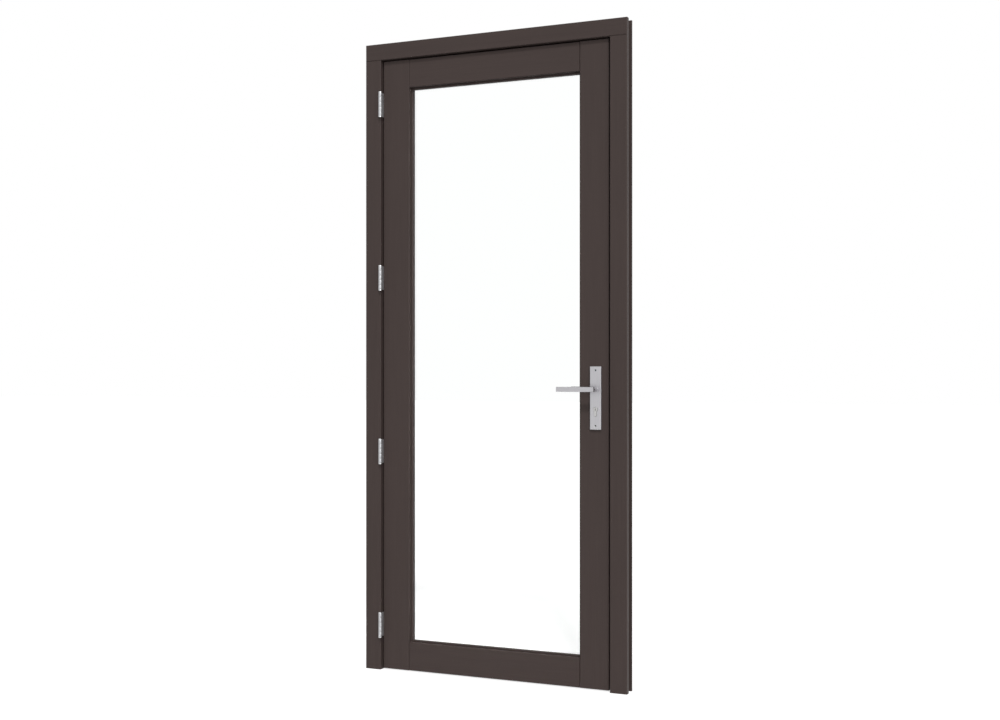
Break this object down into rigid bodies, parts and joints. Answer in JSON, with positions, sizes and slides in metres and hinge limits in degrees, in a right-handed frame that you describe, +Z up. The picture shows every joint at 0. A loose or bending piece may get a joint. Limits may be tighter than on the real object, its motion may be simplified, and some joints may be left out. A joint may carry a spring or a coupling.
{
  "type": "glass door",
  "caption": "Glazed timber door hung on butt hinges in its deep three-sided frame, with lever handles on long backplates and a mortise lock.",
  "frame": {"origin": "on the floor, in the middle of the frame's width and of the leaf's thickness", "axes": "+Z up, +X from the hinge side to the lock side, -Y towards the side that the leaf opens to"},
  "size_m": [1.048, 0.168, 2.388],
  "materials": {
    "paint": "satin",
    "beech": "plain",
    "glass": "clear",
    "seal_rubber": "matte",
    "hinge_steel": "satin",
    "pin_steel": "polished",
    "satin_steel": "satin",
    "zinc_steel": "zinc plated",
    "lock_steel": "satin",
    "nickel": "satin nickel",
    "block_plastic": "matte"
  },
  "bodies": {
    "handle": {"lever_front": "satin_steel", "lever_rear": "satin_steel", "spindle": "zinc_steel", "lever_set_screws": "zinc_steel", "lock_follower": "zinc_steel"},
    "latch": {"latch_bolt": "lock_steel"},
    "bolt": {"deadbolt": "lock_steel"},
    "key_front": {"cylinder_plug_front": "nickel", "cylinder_cam": "nickel"},
    "key_rear": {"cylinder_plug_rear": "nickel"},
    "frame": {"frame_head": "paint", "frame_jamb_hinge": "paint", "frame_jamb_lock": "paint", "frame_corner_screws": "zinc_steel", "seal_head": "seal_rubber", "seal_hinge_side": "seal_rubber", "seal_lock_side": "seal_rubber", "strike_plate": "lock_steel", "strike_screws": "zinc_steel", "hinge_screws_frame": "zinc_steel", "hinge_frame_plate_1": "hinge_steel", "hinge_frame_plate_2": "hinge_steel", "hinge_frame_plate_3": "hinge_steel", "hinge_frame_plate_4": "hinge_steel", "hinge_pin_1": "pin_steel", "hinge_pin_2": "pin_steel", "hinge_pin_3": "pin_steel", "hinge_pin_4": "pin_steel"},
    "leaf": {"backplate_front": "satin_steel", "backplate_rear": "satin_steel", "backplate_screws": "zinc_steel", "backplate_sleeves": "zinc_steel", "bead_bottom": "paint", "bead_hinge_side": "paint", "bead_lock_side": "paint", "bead_top": "paint", "cylinder_body": "nickel", "cylinder_fixing_screw": "zinc_steel", "glass_pane": "glass", "glazing_tape_front": "seal_rubber", "glazing_tape_rear": "seal_rubber", "hinge_leaf_plate_1": "hinge_steel", "hinge_leaf_plate_2": "hinge_steel", "hinge_leaf_plate_3": "hinge_steel", "hinge_leaf_plate_4": "hinge_steel", "hinge_screws_leaf": "zinc_steel", "leaf_dowels": "beech", "leaf_rail_bottom": "paint", "leaf_rail_top": "paint", "leaf_stile_hinge": "paint", "leaf_stile_lock": "paint", "lock_case": "zinc_steel", "lock_faceplate": "lock_steel", "lock_faceplate_screws": "zinc_steel", "setting_blocks": "block_plastic"}
  },
  "joints": [
    {"name": "door_swing", "type": "hinge", "parent": "frame", "child": "leaf", "pos_m": [-0.45775, -0.0495, 0], "axis": [0, 0, -1], "range_deg": [0, 170]},
    {"name": "handle_turn", "type": "hinge", "parent": "leaf", "child": "handle", "pos_m": [0.404, 0, 1.0745], "axis": [0, -1, 0], "range_deg": [0, 40], "stiffness_Nm_per_rad": 1.5, "springref_deg": -34.38},
    {"name": "latch_slide", "type": "slide", "parent": "leaf", "child": "latch", "axis": [-1, 0, 0], "range_m": [0, 0.012]},
    {"name": "key_turn_front", "type": "hinge", "parent": "leaf", "child": "key_front", "pos_m": [0.404, 0, 1.0025], "axis": [0, -1, 0], "range_deg": [0, 360]},
    {"name": "bolt_slide", "type": "slide", "parent": "leaf", "child": "bolt", "axis": [1, 0, 0], "range_m": [0, 0.02]},
    {"name": "key_turn_rear", "type": "hinge", "parent": "leaf", "child": "key_rear", "pos_m": [0.404, 0, 1.0025], "axis": [0, 1, 0], "range_deg": [0, 360]}
  ],
  "couplings": [
    {"joint": "latch_slide", "follows": "handle_turn", "m_per_rad": 0.01718},
    {"joint": "key_turn_front", "follows": "bolt_slide", "rad_per_m": 314.1}
  ]
}
